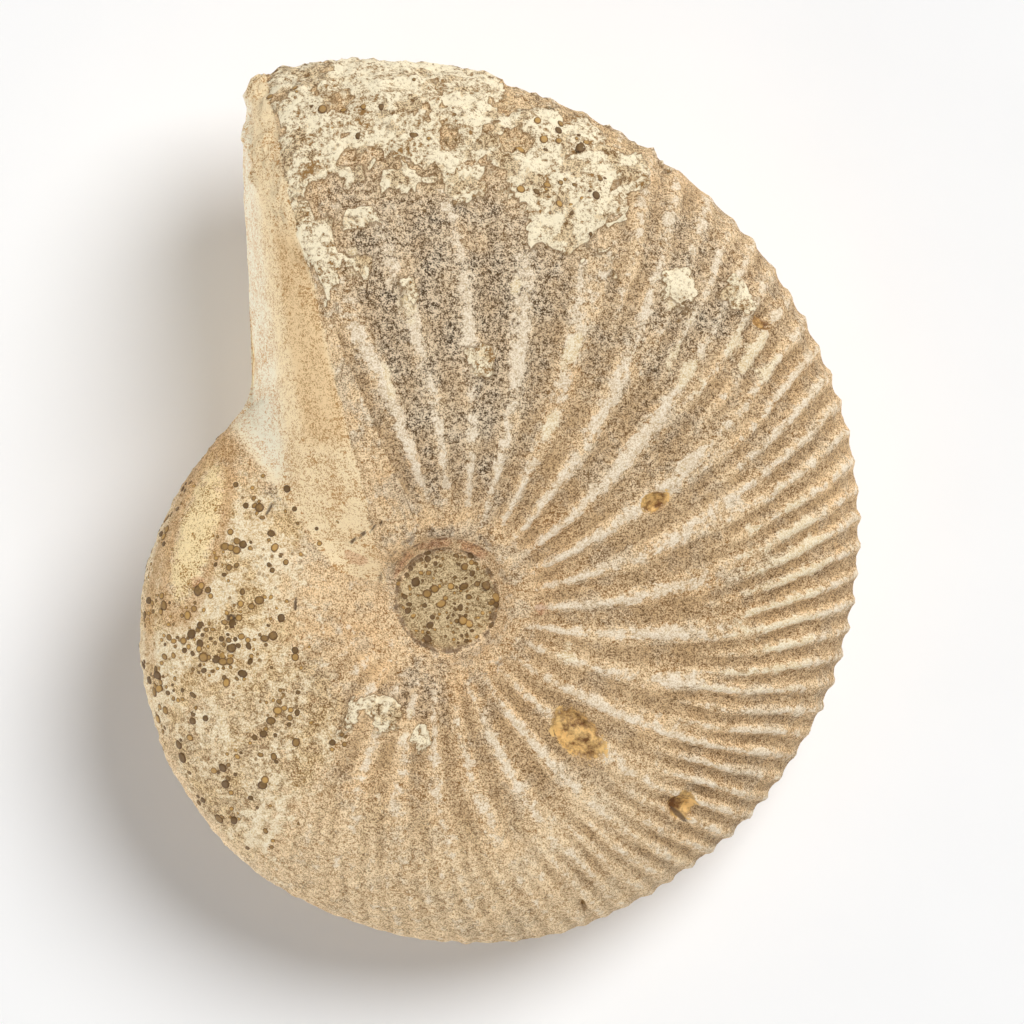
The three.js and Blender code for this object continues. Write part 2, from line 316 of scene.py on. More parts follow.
from_above = add(coil, RANGE, [up, VENTER_ROW, 1.0, 1.0, 0.0])
from_middle = add(coil, SMALLER, [from_below, from_above])
outer = add(coil, RANGE, [from_middle, UMBILICUS_SHARE, 1.0, 0.0, math.pi / 2.0])
outer = add(coil, MATH, [outer], operation="SINE")
inner = add(coil, RANGE, [from_middle, 0.0, UMBILICUS_SHARE, -1.0, 0.0])
across = add(coil, PLUS, [outer, inner])

angle = add(coil, MATH, [turn], operation="RADIANS")
cosine = add(coil, MATH, [angle], operation="COSINE")
sine = add(coil, MATH, [angle], operation="SINE")
direction = add(coil, "ShaderNodeCombineXYZ", [cosine, sine, 0.0])
beside_mouth = add(coil, COMPARE, {"A": turn, "B": STEP_END}, operation="LESS_THAN")
before_mouth = add(coil, COMPARE, {"A": turn, "B": MOUTH_APPROACH}, operation="GREATER_THAN")
near_mouth = add(coil, PLUS, [beside_mouth, before_mouth])
late_turn = add(coil, TIMES_PLUS, [beside_mouth, FULL_TURN, turn])
early = add(coil, GROUP, {"Turn": turn, **sizes}, node_tree=spiral)
late = add(coil, GROUP, {"Turn": late_turn, **sizes}, node_tree=spiral)
towards_lip = add(coil, TIMES_PLUS, [sine, -LIP_SLANT, cosine])
towards_lip = add(coil, TIMES, [towards_lip, near_mouth])
towards_lip = add(coil, SMALLER, [towards_lip, -HAIR])
lip = add(coil, OVER, [LIP_X, towards_lip])
late_edge = add(coil, MATH, [late, lip, CORNER_ROUNDING], operation="SMOOTH_MIN")
both = add(coil, MATH, [early, late_edge, NOTCH_ROUNDING], operation="SMOOTH_MAX")
outline = add(coil, SWITCH, [beside_mouth, late_edge, both], input_type="FLOAT")
edge_point = add(coil, VECTOR, [direction, outline], operation="SCALE")
rim_point = add(coil, VECTOR, [direction, given["Rim Radius"]], operation="SCALE")
rim_point = add(coil, VECTOR, [rim_point, (*UMBILICUS, 0.0)], operation="ADD")
on_flank = add(coil, LARGER, [across, 0.0])
flank_point = add(coil, MIX, [on_flank, rim_point, edge_point], data_type="VECTOR")
into_middle = add(coil, SMALLER, [across, 0.0])
into_middle = add(coil, TIMES, [into_middle, -1.0])
plan = add(coil, MIX, [into_middle, flank_point, (*UMBILICUS, 0.0)], data_type="VECTOR")
print("coil tree so far:", len(coil.nodes), "nodes")

# %% [markdown]
# The second cell sets how high the point stands over the middle plane. The mouth's broken face
# climbs from the lip to the flank in two slopes. The old whorl's flank comes out from under it,
# and rock that filled the gap between them makes a soft saddle.

# %% Coil tree: height
LEAST_INSET = 0.001
point = add(coil, "ShaderNodeSeparateXYZ", [flank_point])
x, y = point.node.outputs["X"], point.node.outputs["Y"]
early_flank = add(coil, GROUP, {"X": x, "Y": y, "Turn": turn, **rim_sizes}, node_tree=flank)
late_flank = add(coil, GROUP, {"X": x, "Y": y, "Turn": late_turn, **rim_sizes}, node_tree=flank)
lip_x = add(coil, TIMES_PLUS, [y, LIP_SLANT, LIP_X])
reach = add(coil, TIMES_PLUS, [y, -EDGE_SLANT, EDGE_REACH])
reach = add(coil, LARGER, [reach, EDGE_REACH_LEAST])
side_share = add(coil, RANGE, [side, -1.0, 1.0, UNDERSIDE_REACH, 1.0])
reach = add(coil, TIMES, [reach, side_share])
edge_x = add(coil, PLUS, [lip_x, reach])
edge_flank = add(coil, GROUP, {"X": edge_x, "Y": y, "Turn": late_turn, **rim_sizes},
                 node_tree=flank)
edge_flank = add(coil, LARGER, [edge_flank, EDGE_RISE_LEAST])
inset = add(coil, MINUS, [x, lip_x])
inset = add(coil, OVER, [inset, reach])
inset = add(coil, LARGER, [inset, LEAST_INSET])
lower = add(coil, TIMES, [inset, FACE_BREAK_RISE / FACE_BREAK])
upper = add(coil, RANGE, [inset, FACE_BREAK, 1.0, FACE_BREAK_RISE, 1.0], clamp=False)
face = add(coil, SMALLER, [lower, upper])
face = add(coil, TIMES, [face, edge_flank])
rounding = add(coil, SMALLER, [inset, 1.0])
rounding = add(coil, TIMES, [rounding, EDGE_ROUNDING])
mouth = add(coil, MATH, [face, late_flank, rounding], operation="SMOOTH_MIN")
late_rise = add(coil, SWITCH, [near_mouth, late_flank, mouth], input_type="FLOAT")
sink = add(coil, RANGE, [turn, FILL_START, FILL_END, 0.0, FILL_SINK],
           interpolation_type="SMOOTHSTEP")
fill = add(coil, MINUS, [late_rise, sink])
saddle = add(coil, MATH, [early_flank, fill, FILL_ROUNDING], operation="SMOOTH_MAX")
rise = add(coil, SWITCH, [beside_mouth, late_rise, saddle], input_type="FLOAT")

from_floor_middle = add(coil, VECTOR, [plan, (*FLOOR_MIDDLE, 0.0)], operation="SUBTRACT")
floor_rise = add(coil, VECTOR, [from_floor_middle, (*FLOOR_LEAN, 0.0)], operation="DOT_PRODUCT")
floor_rise = add(coil, PLUS, [floor_rise, FLOOR_RISE])
radius = add(coil, RANGE, [into_middle, 0.0, 1.0, given["Rim Radius"], 0.0])
wall = add(coil, RANGE, [radius, FLOOR_RADIUS, given["Rim Radius"], 0.0, 1.0],
           interpolation_type="SMOOTHSTEP")
rise = add(coil, MIX, [wall, floor_rise, rise])
middle = add(coil, VECTOR, [plan, (*SLOPE, 0.0)], operation="DOT_PRODUCT")
middle = add(coil, PLUS, [middle, given["Pole Height"]])
height = add(coil, TIMES_PLUS, [rise, side, middle])
height = add(coil, LARGER, [height, 0.0])
print("coil tree so far:", len(coil.nodes), "nodes")

# %% [markdown]
# The third cell moves the points, keeps each one's turn and place across for the next trees and
# the materials, and closes the sheet. The turn and the place across are kept for each face's
# corner, like a UV map, so that they stay right on both sides of the seam.

# %% Coil tree: closing
MERGE_DISTANCE = 0.005
plan = add(coil, "ShaderNodeSeparateXYZ", [plan])
point = add(coil, "ShaderNodeCombineXYZ", [plan, plan.node.outputs["Y"], height])
around = add(coil, TIMES, [turn, 1.0 / FULL_TURN])
shell = add(coil, "ShaderNodeCombineXYZ", [around, across, 0.0])
sheet = add(coil, STORE, {"Geometry": grid, "Name": "shell", "Value": shell}, domain="CORNER",
            data_type="FLOAT2")
for name, value in (("side", side), ("across", across)):
    sheet = add(coil, STORE, {"Geometry": sheet, "Name": name, "Value": value}, domain="POINT",
                data_type="FLOAT")
sheet = add(coil, "GeometryNodeSetPosition", {"Geometry": sheet, "Position": point})
sheet = add(coil, "GeometryNodeMergeByDistance", {"Geometry": sheet, "Distance": MERGE_DISTANCE})
to_metres = add(coil, "GeometryNodeTransform",
                {"Geometry": sheet, "Translation": (POLE[0] * MM, POLE[1] * MM, 0.0),
                 "Scale": (MM, MM, MM)})
solid = add(coil, "GeometryNodeRealizeInstances", [to_metres])
limestone = bpy.data.materials.new("limestone_cast_weathered")
solid = add(coil, "GeometryNodeSetMaterial", {"Geometry": solid, "Material": limestone})
add(coil, "NodeGroupOutput", [solid])

stone = new_piece("ammonite_stone", bpy.data.meshes.new("ammonite_stone"))
run_tree(stone, coil, {"Columns": COLUMNS, "Rows": ROWS_BELOW + ROWS_ABOVE})
box = [[round(c / MM, 1) for c in corner] for corner in (stone.bound_box[0], stone.bound_box[6])]
print("coil box in mm:", box)

# %% [markdown]
# ## Where each kind of surface is
#
# Different parts of a fossil weather in different ways, and a mason would mark them on the stone
# before carving. Here each kind of surface is one number for each point, kept on the mesh: 1
# inside its place, 0 well outside, and 0.5 on its edge. A patch is an ellipse in millimetres, a
# band runs along the whorl. The trees and the material add the same noise to these numbers, so
# that the edges come out ragged.

# %% Points of the stone
def read(layer, name, count, width=1, kind=float):
    """Reads one property of every item in a layer of the stone's mesh."""
    values = np.empty(count * width, dtype=kind)
    layer.foreach_get(name, values)
    return values.reshape(-1, width) if width > 1 else values


count, corner_count = len(stone.data.vertices), len(stone.data.loops)
plan = read(stone.data.vertices, "co", count, 3)[:, :2] / MM - POLE
corner_points = read(stone.data.loops, "vertex_index", corner_count, kind=int)
corner_shell = read(stone.data.attributes["shell"].data, "vector", corner_count, 2)
turns = np.empty(count)
turns[corner_points] = corner_shell[:, 0] * FULL_TURN
places = read(stone.data.attributes["across"].data, "value", count)
sides = read(stone.data.attributes["side"].data, "value", count)
TOP, UNDER = 1, -1
VENTER_PLACE = 0.999  # from here out, a point lies on both sides


def keep(name, values):
    """Keeps one number for each point on the stone's mesh."""
    layer = stone.data.attributes.new(name, "FLOAT", "POINT")
    layer.data.foreach_set("value", np.asarray(values, dtype=float))
    print(f"{name}: covers {np.mean(np.asarray(values) > 0.5):.1%} of the points")


def bearing_from(bearing):
    """Degrees from each point to a bearing, the short way round."""
    return (turns - bearing + FULL_TURN / 2.0) % FULL_TURN - FULL_TURN / 2.0


def patch(bearing, place, along, out, side=TOP):
    """An ellipse. along is its half length round the coil, out its half length outwards, in mm."""
    gaps = np.abs(bearing_from(bearing)) / 100.0 + np.abs(places - place) + (sides * side < 0)
    offset = plan - plan[np.argmin(gaps)]
    angle = math.radians(bearing)
    outwards = offset @ (math.cos(angle), math.sin(angle))
    sideways = offset @ (-math.sin(angle), math.cos(angle))
    inside = np.clip(1.5 - np.hypot(outwards / out, sideways / along), 0.0, 1.0)
    return inside * (sides * side > 0)


def band(first, last, inner, outer, side=TOP, soft=5.0, soft_place=0.05):
    """A part of the whorl, from one bearing to another and from one place across to another."""
    round_coil = (last - first) / 2.0 - np.abs(bearing_from((first + last) / 2.0))
    across_coil = np.minimum(places - inner, outer - places)
    inside = np.minimum(round_coil / soft, across_coil / soft_place)
    return np.clip(0.5 + 0.5 * inside, 0.0, 1.0) * ((sides * side > 0) | (places > VENTER_PLACE))


def all_of(*fields):
    return np.max(fields, axis=0)


# %% [markdown]
# The mouth's broken face was smoothed when the fossil was cleaned, and its lip is the palest part.
# The face lies between the lip and the edge, as in the coil's tree, and a slanting line ends it at
# the old whorl.

# %% Mouth, crust and grey rock
SADDLE_FROM, SADDLE_DIRECTION, SADDLE_SOFT = (-26.8, 22.4), (0.81, 0.588), 5.0
FACE_BEARING, FACE_SPREAD, FACE_SOFT = 125.0, 40.0, 0.25
LIP_STRENGTH, LIP_FADE = 1.3, 2.4
ORANGE_BETWEEN, ORANGE_HEIGHTS = (0.5, 0.98), (20.0, 50.0)
ORANGE_FADES, ORANGE_SOFT = (6.0, 10.0), 6.0
lip_line = LIP_X + LIP_SLANT * plan[:, 1]
edge_reach = np.maximum(EDGE_REACH - EDGE_SLANT * plan[:, 1], EDGE_REACH_LEAST)
inset = (plan[:, 0] - lip_line) / edge_reach
over_saddle = (plan - SADDLE_FROM) @ SADDLE_DIRECTION
on_face = np.clip(0.5 + (1.0 - inset) / FACE_SOFT, 0.0, 1.0)
on_face = on_face * np.clip(0.5 + over_saddle / SADDLE_SOFT, 0.0, 1.0)
on_face = on_face * (np.abs(bearing_from(FACE_BEARING)) < FACE_SPREAD)
keep("turn", turns)
keep("face", on_face)
keep("lip", on_face * np.clip(LIP_STRENGTH - LIP_FADE * inset, 0.0, 1.0))
orange = np.minimum((inset - ORANGE_BETWEEN[0]) * ORANGE_FADES[0],
                    (ORANGE_BETWEEN[1] - inset) * ORANGE_FADES[1])
orange_height = np.minimum(plan[:, 1] - ORANGE_HEIGHTS[0], ORANGE_HEIGHTS[1] - plan[:, 1])
orange = np.minimum(orange, orange_height / ORANGE_SOFT)
keep("orange", np.clip(0.5 + orange, 0.0, 1.0) * (sides > 0))
keep("crust", all_of(band(62, 82, 0.7, 0.97), band(80, 111, 0.72, 1.1), patch(108, 0.6, 3, 8),
                     patch(70, 0.72, 6, 4), patch(246, 0.23, 5, 2.2), patch(51, 0.78, 4, 3),
                     patch(233, 0.32, 1.5, 4), patch(261, 0.24, 2, 2.6), patch(44, 0.88, 3, 2.5),
                     patch(96, 0.52, 2, 3), patch(104, 0.56, 3, 3), patch(80, 0.38, 2.4, 3.4),
                     patch(109, 0.66, 2.6, 9), patch(101, 0.67, 3, 2),
                     patch(60, 0.6, 14, 7, UNDER)))
keep("grey", all_of(band(62, 108, 0.08, 0.8, soft=12.0, soft_place=0.15),
                    0.75 * band(236, 274, -0.2, 0.2, soft=9.0), patch(46, 0.8, 6, 4),
                    patch(148, 0.61, 2, 2), 0.45 * band(15, 66, 0.3, 0.9, soft=12.0),
                    0.75 * band(36, 62, 0.5, 0.97, soft=9.0, soft_place=0.12),
                    patch(94, 0.93, 3, 3), patch(113, 0.9, 1.5, 5), patch(85, -0.08, 6, 0.8),
                    0.6 * band(260, 330, 0.2, 0.8, UNDER)))
PRIMARY_STRENGTH = {170.0: 0.0, 205.0: 0.3, 250.0: 0.6, 290.0: 0.7, 330.0: 0.9, MOUTH_TURN: 0.9}
SECONDARY_STRENGTH = {170.0: 0.0, 205.0: 0.22, 250.0: 0.25, 295.0: 0.4, 322.0: 1.0, 405.0: 1.0,
                      425.0: 0.6, MOUTH_TURN: 0.5}
NAVEL_PLACE, NAVEL_SOFT = -0.27, 0.06
for name, strengths in (("primary", PRIMARY_STRENGTH), ("secondary", SECONDARY_STRENGTH)):
    keep(name, np.interp(turns, list(strengths), list(strengths.values())))
keep("navel", np.clip((NAVEL_PLACE - places) / NAVEL_SOFT, 0.0, 1.0))
# These dark lines are grooves in the shape, and the material darkens them with painted shade.
RIM_LINES = (  # place across, width, first and last bearing, and strength of each dark line
    (-0.31, 0.05, -180.0, 180.0, 1.0), (-0.03, 0.04, 50.0, 205.0, 0.6),
    (-0.16, 0.04, 20.0, 150.0, 0.6), (0.035, 0.015, 250.0, 320.0, 0.5))
keep("groove", all_of(*(strength * np.exp(-((places - place) / width) ** 2)
                        * (np.abs(bearing_from((first + last) / 2.0)) <= (last - first) / 2.0)
                        for place, width, first, last, strength in RIM_LINES)))

# %% [markdown]
# The old whorl below the mouth holds many round iron grains, called ooids, in tan mud with cream
# patches. The same rock fills the umbilicus. Three hollows are lined with brown calcite, and a
# smooth lens of yellow calcite sits by the notch.

# %% Grains, calcite, rust and white streaks
lens = patch(165, 0.83, 10.5, 2.7)
keep("lens", lens)
keep("ooidal", all_of(band(146, 208, 0.34, 1.08, soft=12.0, soft_place=0.22),
                      0.55 * band(200, 242, 0.3, 1.0, soft=8.0), (places < -0.33) * 1.0,
                      0.45 * band(64, 84, 0.72, 0.98), 0.4 * band(82, 110, 0.8, 1.0),
                      0.8 * band(150, 210, 0.2, 0.8, UNDER)) * (1.0 - lens))
keep("girdle", all_of(band(150, 198, 0.935, 0.985, soft=12.0, soft_place=0.02),
                      0.9 * np.minimum(2.0 * patch(165, 0.83, 12.5, 3.7), 2.0 - 2.4 * lens)))
keep("calcite", all_of(patch(315.5, 0.4, 2.7, 4.8), patch(24, 0.43, 1.5, 2.2),
                       patch(320, 0.81, 2.2, 2.0), 0.8 * patch(39, 0.9, 2, 1),
                       0.9 * patch(296, 0.94, 0.5, 0.9), patch(210, 0.45, 3, 5, UNDER)))
keep("rust", all_of(patch(155, 0.12, 1.0, 2.0), patch(177, 0.76, 1.2, 1), patch(355, 0.07, 1, 1),
                    patch(62, -0.25, 3, 0.9), patch(100, -0.22, 3, 0.8),
                    patch(140, -0.25, 3, 0.7)))
keep("brown", all_of(0.9 * band(198, 240, 0.25, 1.0, soft=10.0), patch(186, 0.6, 3, 2.5),
                     0.6 * band(225, 300, 0.5, 1.1, soft=14.0), 0.75 * band(60, 110, 0.8, 1.1),
                     0.75 * band(84, 100, 0.7, 0.9)))
# This is painted light: the outer whorl towards the bottom of the plan, on both sides, is made
# paler to even out the lamp's shading there.
keep("painted_light_bottom", all_of(*(0.9 * band(185, 322, 0.5, 1.2, side, soft=16.0, soft_place=0.2)
                      for side in (TOP, UNDER))))
keep("white", all_of(0.8 * patch(228, 0.62, 4, 6), 0.6 * patch(205, 0.93, 9, 2.5),
                     0.7 * patch(168, 0.62, 7, 3), patch(338, 0.19, 1.6, 2),
                     patch(8, 0.82, 7, 3.5), patch(11, 0.68, 2, 2), patch(51, 0.76, 3.5, 3),
                     patch(43, 0.66, 5, 2.5), patch(37, 0.82, 5, 3), patch(233, 0.83, 5, 6),
                     patch(210, 0.78, 5, 4), patch(179, 0.72, 6, 4), patch(192, 0.88, 6, 2.5),
                     patch(61.5, 0.48, 1.2, 3), patch(58, 0.31, 1.2, 2.5),
                     patch(76, 0.56, 1, 1.4), patch(81, 0.38, 1.3, 3), patch(90, 0.38, 2, 1.4),
                     patch(96, 0.5, 1.6, 3.2), patch(104, 0.58, 1.6, 5), patch(102, 0.35, 1, 5),
                     0.75 * band(343, 373, 0.62, 0.9), 0.7 * patch(246, 0.23, 6, 2.5)))
CRACK_FROM, CRACK_DIRECTION = (-11.2, 6.6), (0.857, 0.515)
CRACK_WIDTH, CRACK_LENGTH, CRACK_STRENGTH = 0.35, 6.0, 0.8
along_crack = (plan - CRACK_FROM) @ CRACK_DIRECTION
off_crack = (plan - CRACK_FROM) @ (-CRACK_DIRECTION[1], CRACK_DIRECTION[0])
crack = np.exp(-(off_crack / CRACK_WIDTH) ** 2)
crack = crack * (along_crack > 0.0) * (along_crack < CRACK_LENGTH)
keep("crack", CRACK_STRENGTH * all_of(
    crack * (sides > 0), patch(152, 0.6, 1.2, 0.4), patch(318, 0.83, 0.5, 1.8),
    patch(182, 0.34, 1.4, 0.35), patch(186, 0.61, 0.8, 0.7)))

# %% [markdown]
# ## Ribs, lumps, crust and hollows
#
# The ribs are the shell's own relief. Strong primary ribs start at the umbilicus and fade halfway
# out, and finer secondary ribs take over near the venter. Both lean forward by the same angle, so
# one number, the rib's root, says where a point is among them: its turn less its lean. A cosine of
# the root, sharpened at the crests, gives the profile. Weather has worn some ribs more than
# others, and noise does that here.
#
# All of this moves points along their normals, so it is real shape and shows in the mesh. The tree
# also keeps its wide cloudy patterns on the points, because the material can read them from there
# faster than it can work them out. Ribs are weaker under the crust, and the mouth's face has none.

# %% Weathering tree: ribs
RIB_LEAN, LEAN_ORIGIN = 17.0, 0.2
PRIMARY_PITCH, PRIMARY_TURN = 11.6, 462.7
EARLY_PITCH, LATE_PITCH, PITCH_CHANGE = 3.75, 4.196, 400.0
CREST_SHARPNESS, CREST_MEAN = 2.0, 0.375
PRIMARY_IN, PRIMARY_OUT, SECONDARY_IN = (0.0, 0.12), (0.45, 0.85), (0.45, 0.8)  # places across
VENTER_RUB, CRUST_HIDES = 0.55, 0.35  # the share of a rib that is left there

weather, given = start_tree("Weathering", {
    "Geometry": None, "Primary Height": 0.95, "Secondary Height": 1.0, "Rib Wander": 2.0,
    "Lump Height": 1.4, "Grain Height": 0.55, "Crust Height": 1.1, "Hollow Depth": 1.3,
    "Groove Depth": 0.7},
    {"Geometry": None})
place_in_mm = add(weather, VECTOR, [add(weather, "GeometryNodeInputPosition"), 1.0 / MM],
                  operation="SCALE")
fields = {name: add(weather, ATTRIBUTE, {"Name": name}, data_type="FLOAT")
          for name in ("turn", "across", "face", "crust", "ooidal", "calcite", "brown", "lens",
                       "primary", "secondary", "groove", "crack")}


def crests(tree, phase):
    """A rib profile whose crests lie at whole numbers of the phase."""
    wave = add(tree, MATH, [add(tree, TIMES, [phase, 2.0 * math.pi])], operation="COSINE")
    wave = add(tree, TIMES_PLUS, [wave, 0.5, 0.5])
    wave = add(tree, MATH, [wave, CREST_SHARPNESS], operation="POWER")
    return add(tree, MINUS, [wave, CREST_MEAN])


CLOUDS = {  # about how wide the clouds are in mm, then the detail and roughness of the noise
    "rib": (9.0, 2.0, 0.5), "lump": (16.0, 3.0, 0.5), "grain": (3.0, 5.0, 0.7),
    "edge": (5.0, 4.0, 0.65), "crust": (2.6, 3.0, 0.6), "pit": (3.2, 3.0, 0.6),
    "mottle": (3.4, 3.0, 0.6), "cloud": (14.0, 2.0, 0.5), "stain": (7.0, 4.0, 0.6),
    "cream": (6.0, 4.0, 0.6), "patchy": (3.8, 4.0, 0.65)}
clouds = {name: add(weather, NOISE, {"Vector": place_in_mm, "Scale": 1.0 / size, "Detail": detail,
                                     "Roughness": roughness})
          for name, (size, detail, roughness) in CLOUDS.items()}
wander = add(weather, RANGE, [clouds["rib"], 0.0, 1.0, -0.5, 0.5])
lean = add(weather, RANGE, [fields["across"], LEAN_ORIGIN, LEAN_ORIGIN + 1.0, 0.0, -RIB_LEAN],
           clamp=False)
root = add(weather, PLUS, [fields["turn"], lean])
root = add(weather, TIMES_PLUS, [wander, given["Rib Wander"], root])
phase = add(weather, RANGE, [root, PRIMARY_TURN, PRIMARY_TURN + PRIMARY_PITCH, 0.0, 1.0],
            clamp=False)
primary_in = add(weather, RANGE, [fields["across"], *PRIMARY_IN, 0.0, 1.0],
                 interpolation_type="SMOOTHSTEP")
primary_out = add(weather, RANGE, [fields["across"], *PRIMARY_OUT, 1.0, 0.0],
                  interpolation_type="SMOOTHSTEP")
primary = crests(weather, phase)
for share in (primary_in, primary_out, fields["primary"]):
    primary = add(weather, TIMES, [primary, share])
early_root = add(weather, SMALLER, [root, PITCH_CHANGE])
late_root = add(weather, MINUS, [root, PITCH_CHANGE])
late_root = add(weather, LARGER, [late_root, 0.0])
late_root = add(weather, OVER, [late_root, LATE_PITCH])
phase = add(weather, TIMES_PLUS, [early_root, 1.0 / EARLY_PITCH, late_root])
secondary_in = add(weather, RANGE, [fields["across"], *SECONDARY_IN, 0.0, 1.0],
                   interpolation_type="SMOOTHSTEP")
rubbed = add(weather, RANGE, [fields["across"], 0.85, 1.0, 1.0, VENTER_RUB])
secondary = crests(weather, phase)
for share in (secondary_in, fields["secondary"], rubbed):
    secondary = add(weather, TIMES, [secondary, share])
worn = add(weather, RANGE, [clouds["rib"], 0.35, 0.65, 1.3, 0.55])
bare = add(weather, MINUS, [1.0, fields["face"]])
clear = add(weather, RANGE, [fields["crust"], 0.3, 0.8, 1.0, CRUST_HIDES])
crest = add(weather, PLUS, [primary, secondary])
primary = add(weather, TIMES, [primary, given["Primary Height"]])
ribs = add(weather, TIMES_PLUS, [secondary, given["Secondary Height"], primary])
for share in (worn, bare, clear):
    crest = add(weather, TIMES, [crest, share])
    ribs = add(weather, TIMES, [ribs, share])
print("weathering tree so far:", len(weather.nodes), "nodes")

# %% [markdown]
# Lumps and grain cover all the stone, and the mouth's face has only half the grain. The crust is a
# broken sheet: noise pushes its edge in and out, and holes in it show the rib cast below. The
# hollows have steep walls, and the brown and ooidal rock is pitted where grains fell out.

# %% Weathering tree: lumps, crust and hollows
FACE_GRAIN, RAGGEDNESS, HOLLOW_RAGGED = 0.5, 1.6, 0.2
CRUST_EDGE, HOLLOW_EDGE, LENS_EDGE, PIT_EDGE = (0.55, 0.8), (0.4, 0.75), (0.45, 0.9), (0.28, 0.42)
CRUST_LOW, CRUST_HIGH, PIT_DEPTH, LENS_HEIGHT = 0.35, 1.3, 0.6, 0.25

smooth = add(weather, RANGE, [fields["face"], 0.3, 0.8, 1.0, FACE_GRAIN])
lumps = add(weather, RANGE, [clouds["lump"], 0.0, 1.0, -0.5, 0.5])
lumps = add(weather, TIMES, [lumps, given["Lump Height"]])
grain = add(weather, RANGE, [clouds["grain"], 0.0, 1.0, -1.0, 1.0])
for share in (given["Grain Height"], smooth):
    grain = add(weather, TIMES, [grain, share])
ragged = add(weather, RANGE, [clouds["edge"], 0.0, 1.0, -RAGGEDNESS, RAGGEDNESS])
crust = add(weather, PLUS, [fields["crust"], ragged])
crust = add(weather, RANGE, [crust, *CRUST_EDGE, 0.0, 1.0], interpolation_type="SMOOTHSTEP")
crust = add(weather, TIMES, [crust, add(weather, RANGE, [fields["crust"], 0.0, 0.15, 0.0, 1.0])])
crust_top = add(weather, RANGE, [clouds["crust"], 0.3, 0.7, CRUST_LOW, CRUST_HIGH])
for share in (given["Crust Height"], crust):
    crust_top = add(weather, TIMES, [crust_top, share])
hollow = add(weather, TIMES_PLUS, [ragged, HOLLOW_RAGGED, fields["calcite"]])
hollow = add(weather, RANGE, [hollow, *HOLLOW_EDGE, 0.0, 1.0], interpolation_type="SMOOTHSTEP")
hollow = add(weather, TIMES, [hollow, given["Hollow Depth"]])
pitted = add(weather, LARGER, [fields["ooidal"], fields["brown"]])
pits = add(weather, RANGE, [clouds["pit"], *PIT_EDGE, PIT_DEPTH, 0.0],
           interpolation_type="SMOOTHSTEP")
pits = add(weather, TIMES, [pits, pitted])
lens = add(weather, RANGE, [fields["lens"], *LENS_EDGE, 0.0, LENS_HEIGHT],
           interpolation_type="SMOOTHSTEP")
groove = add(weather, LARGER, [fields["groove"], fields["crack"]])
groove = add(weather, TIMES, [groove, given["Groove Depth"]])
height = ribs
for part in (lumps, grain, crust_top, lens):
    height = add(weather, PLUS, [height, part])
for part in (hollow, pits, groove):
    height = add(weather, MINUS, [height, part])
height = add(weather, TIMES, [height, MM])
move = add(weather, VECTOR, [add(weather, "GeometryNodeInputNormal"), height], operation="SCALE")
moved = add(weather, "GeometryNodeSetPosition", {"Geometry": given["Geometry"], "Offset": move})
above_floor = add(weather, VECTOR, [add(weather, "GeometryNodeInputPosition"), (-1.0, -1.0, 0.0)],
                  operation="MAXIMUM")
moved = add(weather, "GeometryNodeSetPosition", {"Geometry": moved, "Position": above_floor})
kept = {"crest": crest, "crusted": crust, "clay": clouds["edge"],
        **{name: clouds[name] for name in ("mottle", "cloud", "stain", "cream", "patchy")}}
for name, value in kept.items():
    moved = add(weather, STORE, {"Geometry": moved, "Name": name, "Value": value},
                domain="POINT", data_type="FLOAT")
moved = add(weather, "GeometryNodeRealizeInstances", [moved])
moved = add(weather, "GeometryNodeSetMaterial", {"Geometry": moved, "Material": limestone})
add(weather, "NodeGroupOutput", [moved])
run_tree(stone, weather, {"Lump Height": 1.4})
stone.data.shade_smooth()

# %% [markdown]
# ## Iron grains
#
# An ooid is a round grain of iron oxide that grew in layers on the sea floor. Only the top of each
# one stands out of the mud, so what shows is 0.5 to 1.5 mm across. Points are scattered over the
# stone, denser where the ooidal number is high and in clusters. Each one gets a flattened ball of
# few faces, turned to lie on the surface. The sizes below are in millimetres, and the tree
# multiplies the ball's radius by one of them.

# %% Ooid tree
OOID_SEED, SIZE_SEED, OVAL_SEED, TINT_SEED = 7, 1, 3, 2
CLUSTER_SIZE, CLUSTER_EDGE = 4.0, (0.42, 0.6)
OOIDAL_EDGE, NAVEL_SHARE = (0.3, 0.9), 0.45
SMALL_ONES, OVAL_LEAST, OVAL_MOST = 2.2, 0.8, 1.15  # a higher power makes more of them small
ooid_tree, given = start_tree("Ooids", {
    "Geometry": None, "Spacing": 0.75, "Density": 3.0, "Smallest": 0.26, "Largest": 0.74,
    "Flatness": 0.24}, {"Geometry": None})
where = add(ooid_tree, ATTRIBUTE, {"Name": "ooidal"}, data_type="FLOAT")
place_in_mm = add(ooid_tree, VECTOR, [add(ooid_tree, "GeometryNodeInputPosition"), 1.0 / MM],
                  operation="SCALE")
clusters = add(ooid_tree, NOISE, {"Vector": place_in_mm, "Scale": 1.0 / CLUSTER_SIZE,
                                  "Detail": 2.0, "Roughness": 0.5})
clusters = add(ooid_tree, RANGE, [clusters, *CLUSTER_EDGE, 0.0, 1.0])
where = add(ooid_tree, RANGE, [where, *OOIDAL_EDGE, 0.0, 1.0])
navel = add(ooid_tree, ATTRIBUTE, {"Name": "navel"}, data_type="FLOAT")
navel = add(ooid_tree, TIMES, [navel, NAVEL_SHARE])
clusters = add(ooid_tree, LARGER, [clusters, navel])
where = add(ooid_tree, TIMES, [where, clusters])
least = add(ooid_tree, TIMES, [given["Spacing"], MM])
most = add(ooid_tree, TIMES, [given["Density"], MM ** -2.0])
seeds = add(ooid_tree, "GeometryNodeDistributePointsOnFaces",
            {"Mesh": given["Geometry"], "Distance Min": least, "Density Max": most,
             "Density Factor": where, "Seed": OOID_SEED}, distribute_method="POISSON")
facing = seeds.node.outputs["Rotation"]
ball = add(ooid_tree, "GeometryNodeMeshIcoSphere", {"Radius": MM, "Subdivisions": 2})
